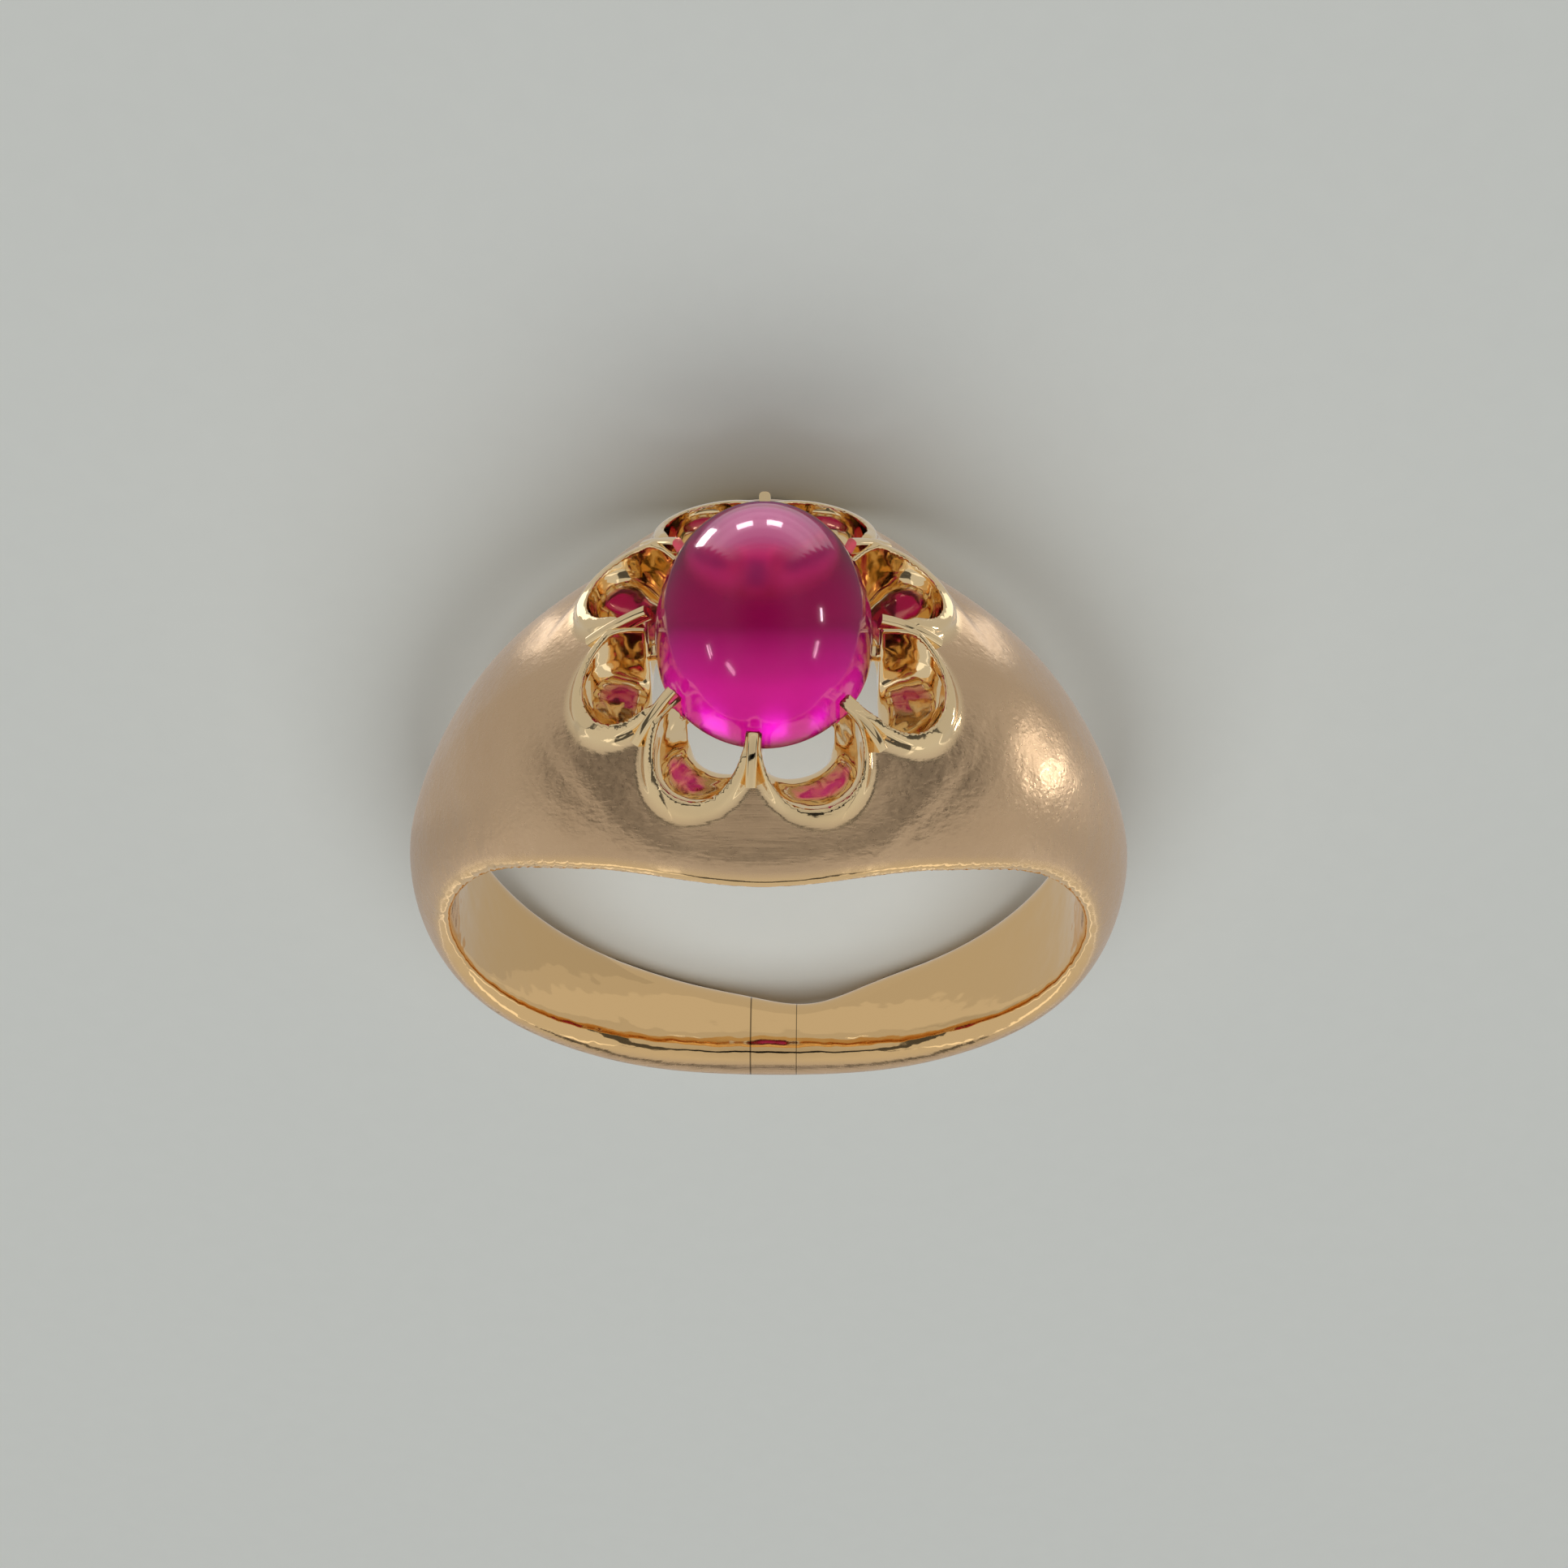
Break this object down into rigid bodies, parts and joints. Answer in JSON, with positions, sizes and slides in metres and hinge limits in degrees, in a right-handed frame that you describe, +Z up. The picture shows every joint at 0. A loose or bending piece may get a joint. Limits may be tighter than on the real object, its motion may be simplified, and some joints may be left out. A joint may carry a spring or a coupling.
{
  "type": "cabochon ring",
  "caption": "Finger ring whose tapering band swells into a fluted crown of scooped petals, with small claws that grip one high-domed oval cabochon over an open back",
  "frame": {"origin": "middle of the bounding box's bottom face: the ring lies on its side, on the back edge of its head and on its narrow shank", "axes": "+Z up from the table; +Y from the shank towards the stone; +X across the finger, to the wearer's right hand side when the stone is at the top and the ring is seen from above"},
  "size_m": [0.0208, 0.025, 0.0121],
  "materials": {
    "gold": "satin",
    "ruby": "polished"
  },
  "bodies": {
    "root": {"ring_mount": "gold", "cabochon_stone": "ruby"}
  },
  "joints": []
}
